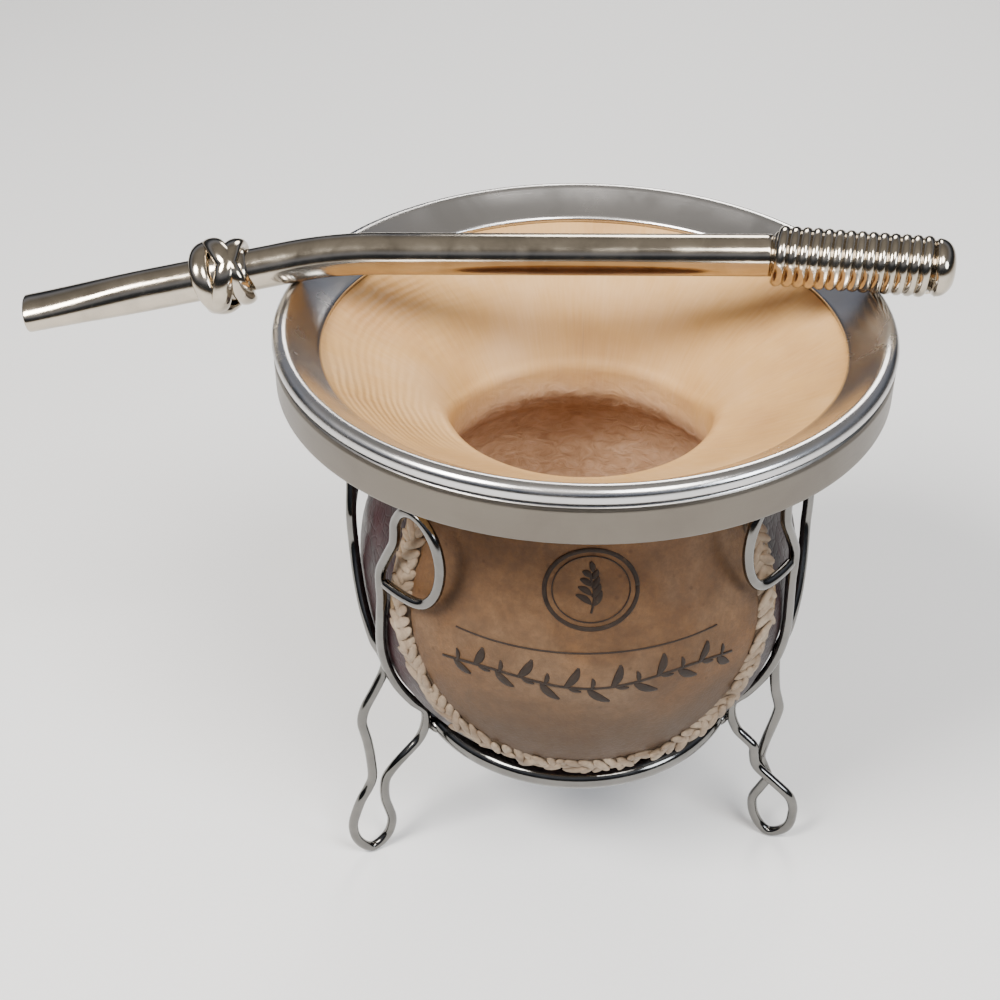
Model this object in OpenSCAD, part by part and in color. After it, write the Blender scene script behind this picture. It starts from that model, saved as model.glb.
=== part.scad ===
// Empty mate gourd in a laced leather cover, with a metal rim, a wire stand and a metal straw.
// Origin: centre of the footprint, on the surface that the feet stand on. Millimetres, +Z up.

/* [Gourd] */
// Widest diameter over the leather cover
body_d = 89; // [78:1:106]
// Height of the widest part above the feet
belly_z = 68; // [60:1:82]
// Height of the flat underside above the feet
base_z = 31.3; // [26:0.1:36]
// How far the round bottom would reach below the flat underside
base_cut = 6.3; // [3:0.1:9]
// Squareness of the lower curve (2 is an ellipse)
base_curve = 2.4; // [2:0.1:3]
// Diameter of the neck over the leather cover
neck_d = 71; // [62:1:76]
// Height of the neck above the feet
neck_z = 101; // [96:0.5:104]
// Diameter of the throat opening
throat_d = 51.4; // [40:0.2:56]
// Height of the throat's edge above the feet
throat_z = 102.3; // [98:0.1:106]
// Thickness of the gourd's shell at the belly
shell_t = 7; // [5:0.1:9]
// Thickness of the leather
leather_t = 1.2; // [0.8:0.1:2]

/* [Rim] */
// Outer diameter of the metal rim
rim_d = 116; // [102:1:138]
// Height of the rim's top edge above the feet
rim_top = 121.1; // [116:0.1:146]
// Height of the plain outer band
band_h = 7.3; // [5:0.1:12]
// Radius of the rolled lip
lip_r = 1.8; // [1.2:0.1:2.6]
// Diameter of the rim's inner edge
rim_inner_d = 98.4; // [88:0.2:100]
// Depth of the inner edge below the top
flange_drop = 4.7; // [3:0.1:7]
// Thickness of the rim's sheet
sheet_t = 1; // [0.8:0.1:1.6]

/* [Front panel and lacing] */
// Half of the panel's angle at the top
panel_angle = 50; // [40:1:60]
// Height of the panel's lowest edge above the middle of the base ring
panel_above_ring = 13.2; // [7:0.1:16]
// Thickness of the panel
panel_t = 0.8; // [0.5:0.1:1.2]
// Width of the braided lace
lace_w = 4.6; // [3:0.1:6]
// Thickness of the braided lace
lace_t = 2; // [1.2:0.1:2.6]

/* [Stand] */
// Diameter of the wire of the legs and eyelets
wire_d = 2.1; // [1.6:0.1:2.6]
// Diameter of the wire of the base ring
ring_wire_d = 4.4; // [2.4:0.1:5]
// Height of the base ring's centre above the feet
ring_z = 32.3; // [28:0.1:36]
// Reach of the feet beyond the wires' joint with the base ring
foot_out = 18.4; // [12:0.1:25]
// Length of a foot's loop across
foot_loop = 11; // [8:0.5:14]
// Reach of the upper bend of a leg beyond the wires' joint with the base ring
knee_out = 14.4; // [11:0.1:20]
// Gap between the two wires at a leg's waist
waist_gap = 0.8; // [0.4:0.1:2]
// Angle of the left leg from the gourd's front
left_leg_angle = 63; // [58:0.5:70]
// Angle of the right leg from the gourd's front
right_leg_angle = 66.5; // [58:0.5:70]
// Width of an eyelet over its wire
eyelet_w = 18.4; // [15:0.1:20]
// Height of an eyelet over its wire
eyelet_h = 22; // [17:0.5:22]
// Height of an eyelet's middle above the feet
eyelet_z = 88.3; // [84:0.1:89]
// Angle from the middle of a leg to an eyelet's post
post_angle = 12.4; // [10:0.1:15]

/* [Straw] */
// Diameter of the straw's tube
tube_d = 8; // [6:0.1:9.6]
// Diameter of the coiled filter
coil_d = 12; // [10:0.1:14.4]
// Length of the coiled filter
coil_l = 30.6; // [24:0.5:37]
// Distance from the crown of the rim's lip in to the coil's start
coil_inside = 20.2; // [14:0.1:24]
// Number of turns in the coil
coil_turns = 15; // [10:1:20]
// Length of the filter's domed end
cap_l = 3.4; // [2:0.1:5]
// Length of the straight tube
straight_l = 76; // [68:1:82]
// Length of the bent mouth part
mouth_l = 67; // [56:1:80]
// Drop of the mouth part below the line of the tube
mouth_drop_angle = 8.5; // [4:0.5:14]
// Sideways turn of the mouth part
mouth_turn_angle = 8; // [0:1:16]
// Width of the flattened mouth
mouth_w = 9.4; // [8:0.1:11]
// Thickness of the flattened mouth
mouth_t = 6.6; // [5:0.1:8]
// Diameter over the knot
knot_d = 14.8; // [13:0.1:17]
// Width of the knot's flat strand
knot_strand_w = 3.8; // [3:0.1:4.4]
// Distance from the rim's outer edge to the knot's middle
knot_from_rim = 12.1; // [10:0.1:18]
// Distance of the tube behind the gourd's axis
straw_back = 11.9; // [0:0.5:20]

/* [Hidden] */
rim_r = rim_d / 2;
body_r = body_d / 2;
neck_r = neck_d / 2;
throat_r = throat_d / 2;
wire_r = wire_d / 2;
ring_wire_r = ring_wire_d / 2;
tube_r = tube_d / 2;
// Clearance between pieces that rest on each other
seat = 0.08;
// Clearance between the wood and the inside of the metal band
wood_fit = 0.2;
turned_fn = 96;

// General helpers
function unit(v) = v / norm(v);
function ease(t) = let (c = max(0, min(1, t))) c * c * (3 - 2 * c);
function at_angle(azimuth, r, z) = [r * sin(azimuth), -r * cos(azimuth), z];
function back_to_front(list) = [for (i = [len(list) - 1:-1:0]) list[i]];
function tangents(path) =
    let (last = len(path) - 1)
    [for (i = [0:last]) unit(path[min(i + 1, last)] - path[max(i - 1, 0)])];

// A smooth curve through the points, with n steps in each span
function through(pts, n) =
    let (last = len(pts) - 1)
    concat(
        [for (i = [0:last - 1], k = [0:n - 1])
            let (
                t = k / n,
                a = i > 0 ? pts[i - 1] : 2 * pts[0] - pts[1],
                b = pts[i],
                c = pts[i + 1],
                d = i + 2 <= last ? pts[i + 2] : 2 * pts[last] - pts[last - 1]
            )
            (2 * b + (c - a) * t + (2 * a - 5 * b + 4 * c - d) * t * t
                + (3 * b - a - 3 * c + d) * t * t * t) / 2],
        [pts[last]]
    );

// Side directions along a path that never twist about it
function side_directions(path, start) =
    let (t = tangents(path), n = len(path))
    [for (i = 0, v = unit(start - (start * t[0]) * t[0]);
          i < n;
          i = i + 1, v = i < n ? unit(v - (v * t[i]) * t[i]) : v) v];

// An oval ring of points about p: half size a along side, b across it
function oval(p, tangent, side, a, b, sides) =
    let (cross_side = cross(tangent, side))
    [for (j = [0:sides - 1]) p + a * cos(360 * j / sides) * side + b * sin(360 * j / sides) * cross_side];

// A skin over a row of rings that have the same number of points, with ends or joined into a loop
module skin_over(rings, loop = false) {
    sides = len(rings[0]);
    last = len(rings) - 1;
    walls = [for (i = [0:loop ? last : last - 1], j = [0:sides - 1])
        let (
            k = (j + 1) % sides,
            near = i * sides,
            far = (i + 1) % (last + 1) * sides
        )
        each [[near + j, far + j, far + k], [near + j, far + k, near + k]]];
    // Each end is closed by a strip of faces between the two halves of its ring
    strip = [for (j = [0:sides / 2 - 2]) [j, j + 1, sides - 2 - j, sides - 1 - j]];
    caps = loop ? [] : concat(strip, [for (f = strip) [for (k = back_to_front(f)) last * sides + k]]);
    polyhedron([for (ring = rings) each ring], concat(walls, caps), convexity = 6);
}

module wire(path, r, sides = 8) {
    t = tangents(path);
    v = side_directions(path, [0, 0.02, 1]);
    skin_over([for (i = [0:len(path) - 1]) oval(path[i], t[i], v[i], r, r, sides)]);
}

// The gourd's outline, from the middle of its underside to its neck
base_edge = 0.8;
round_base_z = base_z - base_cut;
function lower_point(angle, inset) = [
    (body_r - inset) * pow(cos(angle), 2 / base_curve),
    belly_z - (belly_z - round_base_z - inset) * pow(sin(angle), 2 / base_curve)
];
function upper_r(z, inset) = neck_r - inset + (body_r - neck_r) * ease((neck_z - z) / (neck_z - belly_z));
function lower_curve(inset) =
    let (
        round_part = [for (a = [80:-4:0], p = [lower_point(a, inset)]) if (p.y > base_z + inset + base_edge) p],
        edge = round_part[0]
    )
    concat([[0, base_z + inset], [edge.x - 2 * base_edge, base_z + inset]], round_part);
function upper_curve(inset) =
    [for (i = [1:12]) let (z = belly_z + (neck_z - belly_z) * i / 12) [upper_r(z, inset), z]];

// Radius at height z of a round wire's centre that lies against the cover
lower_normals = [for (a = [85:-2.5:0])
    let (run = unit(lower_point(a - 0.5, 0) - lower_point(a + 0.5, 0))) [run.y, -run.x]];
lower_points = [for (a = [85:-2.5:0]) lower_point(a, 0)];
function beside_cover(z, away) =
    z >= belly_z ? upper_r(z, 0) + away
    : lookup(z, [for (i = [0:len(lower_points) - 1])
        let (p = lower_points[i] + away * lower_normals[i]) [p.y, p.x]]);

// Rim and funnel
band_low = rim_top - lip_r - lip_r - band_h + 0.2;
lip_mid = [rim_r - lip_r, rim_top - lip_r];
inner_edge = [rim_inner_d / 2, rim_top - flange_drop];
lip_end_angle = 120;
lip_end = lip_mid + lip_r * [cos(lip_end_angle), sin(lip_end_angle)];
flange_slope = (lip_end.y - inner_edge.y) / (lip_end.x - inner_edge.x);
under_z = rim_top - 1.4 * lip_r;
under_edge = inner_edge - [0, sheet_t];
under_corner = [under_edge.x + (under_z - under_edge.y) / flange_slope, under_z];
band_inner_r = rim_r - sheet_t;

module rim() {
    lip = [for (a = [0:15:lip_end_angle]) lip_mid + lip_r * [cos(a), sin(a)]];
    color("silver")
        rotate_extrude($fn = turned_fn)
            polygon(concat(
                [[band_inner_r, band_low], [rim_r, band_low], [rim_r, lip_mid.y - lip_r]],
                [for (p = lip) p],
                [inner_edge, under_edge, under_corner, [band_inner_r, under_z]]
            ));
}

// Gourd: a thick shell whose lip flares out to the inside of the rim
cavity_inset = leather_t + shell_t;
funnel_round = 1.2;
throat_low_z = throat_z - 9;
module gourd() {
    wood_r = band_inner_r - wood_fit;
    flare = [[wood_r, band_low + sheet_t], [wood_r, under_z], under_corner, under_edge];
    funnel_run = unit(under_edge - [throat_r, throat_z]);
    throat = [
        [throat_r, throat_z] + 2 * funnel_round * funnel_run,
        [throat_r + 0.35 * funnel_round, throat_z - 0.1],
        [throat_r, throat_z - funnel_round]
    ];
    belly_in_r = body_r - cavity_inset;
    inside = [for (i = [0:10])
        let (t = i / 10)
        [throat_r + (belly_in_r - throat_r) * ease(t), throat_low_z + (belly_z - throat_low_z) * t]];
    floor_curve = back_to_front(lower_curve(cavity_inset));
    color("burlywood")
        rotate_extrude($fn = turned_fn)
            polygon(concat(lower_curve(leather_t), upper_curve(leather_t), flare, throat, inside, floor_curve));
}

module leather_cover() {
    outer = concat(lower_curve(0), upper_curve(0));
    inner = concat(lower_curve(leather_t), upper_curve(leather_t));
    color("saddlebrown")
        rotate_extrude($fn = turned_fn)
            polygon(concat(outer, back_to_front(inner)));
}

// Front panel: a U-shaped patch on the cover, from the neck down to panel_low_z
panel_low_z = ring_z + panel_above_ring;
panel_curve = 2.3;
panel_shoulder_z = 88;
panel_end_angle = 84;
u_steps = 10;
function u_shape(half_angle, low_z) = concat(
    [for (z = [neck_z - 1, (neck_z - 1 + panel_shoulder_z) / 2]) [half_angle, z]],
    [for (i = [0:u_steps])
        let (a = panel_end_angle * i / u_steps)
        [half_angle * pow(cos(a), 2 / panel_curve),
            panel_shoulder_z - (panel_shoulder_z - low_z) * pow(sin(a), 2 / panel_curve)]]
);
module front_panel() {
    columns = 14;
    rows = back_to_front(u_shape(panel_angle, panel_low_z));
    // Flat facets touch the round cover at their middles
    outset = 1 / cos(panel_angle / columns);
    rings = [for (row = rows)
        let (
            low_r = beside_cover(row.y, seat) * outset,
            high_r = beside_cover(row.y, seat + panel_t) * outset
        )
        concat(
            [for (j = [0:columns]) at_angle(row.x * (2 * j / columns - 1), high_r, row.y)],
            [for (j = [columns:-1:0]) at_angle(row.x * (2 * j / columns - 1), low_r, row.y)]
        )];
    color("tan")
        skin_over([for (ring = rings) back_to_front(ring)]);
}

// Lacing: a flat braid along the panel's edge
lace_gap = 0.2;
lace_lift = 0.25;
module lacing() {
    beyond = lace_w / 2 + lace_gap;
    beyond_angle = beyond / body_r * 180 / PI;
    half = u_shape(panel_angle + beyond_angle, panel_low_z - beyond);
    outline = concat([for (p = half) [-p.x, p.y]], back_to_front(half));
    low = [for (p = outline) at_angle(p.x, beside_cover(p.y, lace_lift), p.y)];
    high = [for (p = outline) at_angle(p.x, beside_cover(p.y, lace_lift + lace_t), p.y)];
    path = (low + high) / 2;
    t = tangents(path);
    color("wheat")
        skin_over([for (i = [0:len(path) - 1])
            let (up = high[i] - low[i], side = unit(up - (up * t[i]) * t[i]))
            oval(path[i], t[i], side, lace_t / 2, lace_w / 2, 8)]);
}

// Stand
ring_r = beside_cover(ring_z, ring_wire_r + seat);
module base_ring() {
    color("silver")
        rotate_extrude($fn = turned_fn)
            translate([ring_r, ring_z])
                circle(r = ring_wire_r, $fn = 24);
}

// One leg: a single bent wire. It starts at the cut end of the front eyelet, runs down the cover to
// the base ring, out to the foot and back up to the second eyelet.
posts_apart_z = 50;
// The posts bow a little between the points where they touch the cover
post_clearance = 0.25;
wires_apart = 1.6;
eyelet_r = body_r + 0.6;
eyelet_low_z = eyelet_z - eyelet_h / 2 + wire_r;
joint_r = ring_r + ring_wire_r + wire_r + seat;
foot_mid_r = joint_r + foot_out - foot_loop / 2;
knee_r = joint_r + knee_out - wire_r;
foot_half = foot_loop / 2 - wire_r;
waist_half = (wire_d + waist_gap) / 2;
waist_r = foot_mid_r - 2.2;
waist_z = 21.5;

function post_azimuth(z, side, lean, lift) =
    let (e = ease((z - posts_apart_z) / (eyelet_low_z + lift - posts_apart_z)))
    side * (post_angle * e + wires_apart * (1 - e)) - lean * e;
function post_r(z) =
    beside_cover(min(z, belly_z), wire_r + post_clearance);
function post(side, lean, lift, low_z) =
    let (top_z = eyelet_low_z + lift + 1.5, steps = 5)
    [for (i = [0:steps])
        let (z = top_z + (low_z - top_z) * i / steps)
        [post_azimuth(z, side, lean, lift), post_r(z), z]];

// How far the far side of an eyelet leans away from its post
eyelet_lean = 4.1;
// Space between an eyelet's cut end and its post
cut_gap = 0.45;
// Points of an eyelet, from its cut end, which stops beside the post, round to the top of the post
function eyelet(side, lean, lift) =
    let (
        mid_z = eyelet_z + lift,
        half_w = (eyelet_w - wire_d - eyelet_lean) / 2,
        half_h = eyelet_h / 2 - wire_r,
        degrees_per_mm = 180 / PI / eyelet_r,
        start = side * post_angle - lean,
        middle = eyelet_lean + half_w,
        low_z = mid_z - half_h,
        end_r = post_r(belly_z)
    )
    concat(
        [
            [start + side * (wire_r + cut_gap) * degrees_per_mm, end_r, low_z - 0.9],
            [start + side * middle / 2 * degrees_per_mm, end_r, low_z - 0.6]
        ],
        [for (a = [-90:30:180])
            [start + side * (middle + half_w * cos(a)) * degrees_per_mm,
                eyelet_r + (a < 0 ? (end_r - eyelet_r) * -a / 90 : 0), mid_z + half_h * sin(a)]]
    );

// The foot's loop, from the outer wire's waist round to the inner wire's waist
function foot(bow, crossed) =
    let (
        waist = waist_r + bow,
        mid = foot_mid_r + bow / 2,
        f = crossed ? -1 : 1,
        turn = crossed ? 1.5 : 0.4,
        apart = crossed ? 0.1 : waist_half
    )
    [
        [-turn, waist + apart, waist_z],
        [-turn / 2, mid + f * 0.45 * foot_half, 16.4],
        [0, mid + f * foot_half, 10.2],
        [0, mid + f * 0.82 * foot_half, 4.6],
        [0, mid + f * 0.1 * foot_half, wire_r],
        [0, mid - f * 0.75 * foot_half, 3.4],
        [0, mid - f * foot_half, 8],
        [turn / 2, mid - f * 0.72 * foot_half, 14],
        [turn, waist - apart, waist_z - 1]
    ];
function leg_points(lean, lift, bow, crossed) = concat(
    eyelet(1, lean, lift),
    post(1, lean, lift, 46),
    [
        [wires_apart, beside_cover(40, wire_r + post_clearance), 40],
        [wires_apart, max(joint_r, beside_cover(ring_z + 4.4, wire_r + post_clearance)), ring_z + 4.4],
        [wires_apart, joint_r, ring_z + 0.4],
        [wires_apart, joint_r + 1.8, ring_z - 3.4],
        [wires_apart, joint_r + 5.4, ring_z - 6.4]
    ],
    back_to_front(foot(bow, crossed)),
    [
        [-0.8, knee_r + bow - 0.8, ring_z - 0.6],
        [-1, knee_r + bow, ring_z + 4.6],
        [-1.2, knee_r + bow - 1.2, ring_z + 9]
    ],
    back_to_front(post(-1, lean, lift, 50)),
    back_to_front(eyelet(-1, lean, lift))
);
module leg(lean, lift, bow, crossed) {
    points = [for (p = leg_points(lean, lift, bow, crossed)) at_angle(p.x, p.y, p.z)];
    color("silver")
        wire(through(points, 2), wire_r);
}
// Each leg is bent by hand: [lean of its posts away from the front, lift of its eyelets, bow outwards]
left_bend = [6.3, 0, 0];
right_bend = [6.3, 2.5, -4];
back_bend = [0, 2, 0];
module leg_left() {
    rotate([0, 0, -left_leg_angle])
        leg(left_bend[0], left_bend[1], left_bend[2], false);
}
module leg_right() {
    mirror([1, 0, 0])
        rotate([0, 0, -right_leg_angle])
            leg(right_bend[0], right_bend[1], right_bend[2], true);
}
module leg_back() {
    rotate([0, 0, 180])
        leg(back_bend[0], back_bend[1], back_bend[2], false);
}

// Straw: it lies across the rim. The tube rests on the lip at one side, the coil at the other.
straw_yaw = 2.4;
coil_yaw = 10;
crown_r = rim_r - lip_r;
coil_start_x = crown_r - coil_inside;
straw_steps = 18;
bend_length = 18;
coil_start_z = rim_top + coil_d / 2 + seat;
coil_start = [coil_start_x, straw_back - coil_start_x * tan(straw_yaw), coil_start_z];
function heading(yaw, pitch) = [-cos(pitch) * cos(yaw), cos(pitch) * sin(yaw), sin(pitch)];
// Points of the mouth part from the bend's start, for a tube whose straight part has this pitch
function mouth_path(pitch) =
    let (step = mouth_l / straw_steps)
    [for (i = 0, p = [0, 0, 0];
          i <= straw_steps;
          i = i + 1,
          p = p + step * heading(
              straw_yaw - mouth_turn_angle * min(1, i * step / bend_length),
              pitch - mouth_drop_angle * min(1, i * step / bend_length))) p];
bend_x = coil_start_x - straight_l * cos(straw_yaw);
lip_x = sqrt(crown_r * crown_r - straw_back * straw_back);
function fall_to_lip(pitch) = -lookup(lip_x + bend_x, [for (p = mouth_path(pitch)) [-p.x, p.z]]);
bend_z = rim_top + tube_r + seat + fall_to_lip(0) + 0.12;
straw_pitch = -asin((coil_start_z - bend_z) / straight_l);
bend_start = coil_start + straight_l * heading(straw_yaw, straw_pitch);
mouth = [for (p = mouth_path(straw_pitch)) bend_start + p];
coil_dir = [cos(coil_yaw), -sin(coil_yaw), 0];
coil_end = coil_start + coil_l * coil_dir;

// The tube as rings: round where it is straight, then flattened towards the mouth
flat_length = 24;
tube_path = concat([coil_start - seat * coil_dir, coil_start + 12 * heading(straw_yaw, straw_pitch),
    (coil_start + bend_start) / 2], mouth);
tube_last = len(tube_path) - 1;
tube_tangents = concat([-coil_dir], [for (i = [1:tube_last]) tangents(tube_path)[i]]);
tube_sides = side_directions(tube_path, [0, 0, 1]);
tube_halves = [for (i = [0:tube_last])
    let (e = ease(1 - (tube_last - i) * mouth_l / straw_steps / flat_length))
    [tube_r + (mouth_t / 2 - tube_r) * e, tube_r + (mouth_w / 2 - tube_r) * e]];
tube_rings = [for (i = [0:tube_last])
    oval(tube_path[i], tube_tangents[i], tube_sides[i], tube_halves[i].x, tube_halves[i].y, 12)];
cap_r = coil_d / 2 - 0.4;
cap_curve = [for (a = [0:10:90]) [cap_r * pow(cos(a), 0.7), cap_l * sin(a)]];

// The straw's far ends set how far the gourd stands from the middle of the footprint
left_reach = -min([for (p = tube_rings[tube_last]) p.x]);
right_reach = coil_end.x + max([for (p = cap_curve) p.x * sin(coil_yaw) + p.y * cos(coil_yaw)]);
axis_x = (left_reach - right_reach) / 2;

module straw_tube() {
    color("silver")
        difference() {
            skin_over(tube_rings);
            slot(tube_path[tube_last], tube_tangents[tube_last], tube_sides[tube_last]);
        }
}
// Open slot in the end of the mouth
slot_wall = 1;
slot_depth = 5;
module slot(p, tangent, side) {
    skin_over([for (d = [-slot_depth, 1])
        oval(p + d * tangent, tangent, side, mouth_t / 2 - slot_wall, mouth_w / 2 - slot_wall, 12)]);
}

// Knot: one flat strand, closed on itself, that goes twice about the tube and weaves over and under
// itself at three places
knot_winds = 3;
knot_loops = 2;
knot_half_l = 3.4;
// Lift of the strand where it crosses itself, in halves of its thickness
knot_weave = 1.1;
module straw_knot() {
    strand_half_t = (knot_d / 2 - tube_r - seat) / (2 + 2 * knot_weave);
    knot_middle = sqrt(rim_r * rim_r - straw_back * straw_back) + bend_x + knot_from_rim;
    place = knot_middle / mouth_l * straw_steps;
    i = floor(place);
    p = mouth[i] + (place - i) * (mouth[i + 1] - mouth[i]);
    along = unit(mouth[i + 1] - mouth[i]);
    up = unit([0, 0, 1] - along.z * along);
    side = cross(along, up);
    function out(angle) = cos(angle) * up + sin(angle) * side;
    turns = 54;
    path = [for (k = [0:turns - 1])
        let (
            a = 360 * k / turns,
            r = tube_r + seat + strand_half_t * (1 + knot_weave * (1 + cos(knot_winds * a)))
        )
        p + r * out(knot_loops * a) + knot_half_l * sin(knot_winds * a) * along];
    rings = [for (k = [0:turns - 1])
        let (
            tangent = unit(path[(k + 1) % turns] - path[(k + turns - 1) % turns]),
            outward = out(knot_loops * 360 * k / turns)
        )
        oval(path[k], tangent, unit(outward - (outward * tangent) * tangent),
            strand_half_t, knot_strand_w / 2, 8)];
    color("silver") skin_over(rings, loop = true);
}

// Places its children along the coil, with Z along the coil
module along_coil() {
    translate(coil_start)
        rotate([0, 90, -coil_yaw])
            children();
}
// Coil: a close row of turns
module straw_coil() {
    turn = coil_l / coil_turns;
    steps = 6;
    bumps = [for (i = [0:coil_turns - 1], k = [0:steps - 1])
        let (a = 180 * k / steps)
        [coil_d / 2 - turn / 2 + turn / 2 * sin(a), turn * i + turn / 2 * (1 - cos(a))]];
    color("silver")
        along_coil()
            rotate_extrude($fn = 48)
                polygon(concat([[0, 0]], bumps, [[coil_d / 2 - turn / 2, coil_l], [0, coil_l]]));
}
module straw_cap() {
    color("silver")
        along_coil()
            translate([0, 0, coil_l])
                rotate_extrude($fn = 48)
                    polygon(concat([[0, 0]], cap_curve));
}

module placed() { translate([axis_x, 0, 0]) children(); }
placed() gourd();
placed() rim();
placed() leather_cover();
placed() front_panel();
placed() lacing();
placed() base_ring();
placed() leg_left();
placed() leg_right();
placed() leg_back();
placed() straw_tube();
placed() straw_knot();
placed() straw_coil();
placed() straw_cap();
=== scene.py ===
import math
import bmesh
import bpy
from mathutils import Matrix, Vector, noise


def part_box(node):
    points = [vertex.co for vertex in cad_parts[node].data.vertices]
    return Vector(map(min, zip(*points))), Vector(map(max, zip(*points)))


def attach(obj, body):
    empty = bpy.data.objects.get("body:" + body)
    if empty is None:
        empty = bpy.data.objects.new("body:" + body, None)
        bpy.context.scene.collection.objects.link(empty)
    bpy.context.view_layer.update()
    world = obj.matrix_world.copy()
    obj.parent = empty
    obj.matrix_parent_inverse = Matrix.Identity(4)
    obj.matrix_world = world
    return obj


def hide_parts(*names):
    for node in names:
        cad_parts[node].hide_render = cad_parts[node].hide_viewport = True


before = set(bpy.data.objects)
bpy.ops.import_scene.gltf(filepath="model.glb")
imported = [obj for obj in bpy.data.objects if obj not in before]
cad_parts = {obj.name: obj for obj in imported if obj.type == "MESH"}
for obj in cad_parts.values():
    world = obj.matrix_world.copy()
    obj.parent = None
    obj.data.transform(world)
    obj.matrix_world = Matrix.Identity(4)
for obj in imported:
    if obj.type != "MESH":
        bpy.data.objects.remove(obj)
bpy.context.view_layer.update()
mm = 0.001
print("1: the packed frame is loaded")

# Places and sizes that every piece shares; the gourd's widest radius, underside and neck are the frame's
rimLow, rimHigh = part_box("rim")
coverLow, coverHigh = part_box("leather_cover")
ringLow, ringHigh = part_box("base_ring")
axis = Vector(((rimLow.x + rimHigh.x) / 2, 0, 0))
rimRadius = (rimHigh.x - rimLow.x) / 2
ringHeight = (ringLow.z + ringHigh.z) / 2

gourd = {
    "bellyRadius": (coverHigh.x - coverLow.x) / 2,
    "bellyHeight": 68 * mm,
    "underside": coverLow.z,
    "roundBottom": coverLow.z - 6.3 * mm,
    "squareness": 2.4,
    "neckRadius": 35.5 * mm,
    "neckHeight": coverHigh.z,
    "throatRadius": 25.7 * mm,
    "throatHeight": 102.3 * mm,
    "leather": 1.2 * mm,
    "shell": 7 * mm,
    "seatRadius": 49.2 * mm,  # where the funnel meets the rim's flange
    "seatDrop": 5.7 * mm,
    "segments": 288,
}


def mix(a, b, t):
    return a + (b - a) * t


def ease(t):
    t = min(1, max(0, t))
    return t * t * (3 - 2 * t)


def coverRadius(z, inset=0):
    # radius of the leather at a height, or of a surface that lies under it
    belly = gourd["bellyHeight"]
    if z >= belly:
        t = (gourd["neckHeight"] - z) / (gourd["neckHeight"] - belly)
        return mix(gourd["neckRadius"], gourd["bellyRadius"], ease(t)) - inset
    t = min(1, (belly - z) / (belly - gourd["roundBottom"] - inset))
    power = gourd["squareness"]
    return (gourd["bellyRadius"] - inset) * (1 - t ** power) ** (1 / power)


def around(azimuth, r, z):
    # azimuth in degrees from the front, turning towards +X
    a = math.radians(azimuth)
    return axis + Vector((r * math.sin(a), -r * math.cos(a), z))


def coverNormal(azimuth, z):
    step = 0.5 * mm
    slope = (coverRadius(z + step) - coverRadius(z - step)) / (2 * step)
    a = math.radians(azimuth)
    return Vector((math.sin(a), -math.cos(a), -slope)).normalized()


def onCover(azimuth, z, lift=0):
    return around(azimuth, coverRadius(z), z) + coverNormal(azimuth, z) * lift


def lumps(point, size, seed=0):
    # smooth noise from -1 to 1, with features of about this size
    return noise.noise(point / size + Vector((seed, 1.7 * seed, -seed)))


# Short ways to make nodes
def make(tree, kind, inputs=None, **settings):
    item = tree.nodes.new(kind)
    for name, value in settings.items():
        setattr(item, name, value)
    for name, value in (inputs or {}).items():
        socket = item.inputs[name]
        if isinstance(value, bpy.types.NodeSocket):
            tree.links.new(value, socket)
        else:
            socket.default_value = value
    return item


def number(tree, operation, *values):
    return make(tree, "ShaderNodeMath", dict(enumerate(values)), operation=operation).outputs[0]


def vector(tree, operation, *values):
    return make(tree, "ShaderNodeVectorMath", dict(enumerate(values)), operation=operation).outputs[0]


def setStops(item, stops):
    elements = item.color_ramp.elements
    while len(elements) > 1:
        elements.remove(elements[-1])
    for index, (place, colour) in enumerate(stops):
        element = elements[0] if index == 0 else elements.new(place)
        element.position = place
        element.color = (*colour, 1)
    return item.outputs["Color"]


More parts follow.
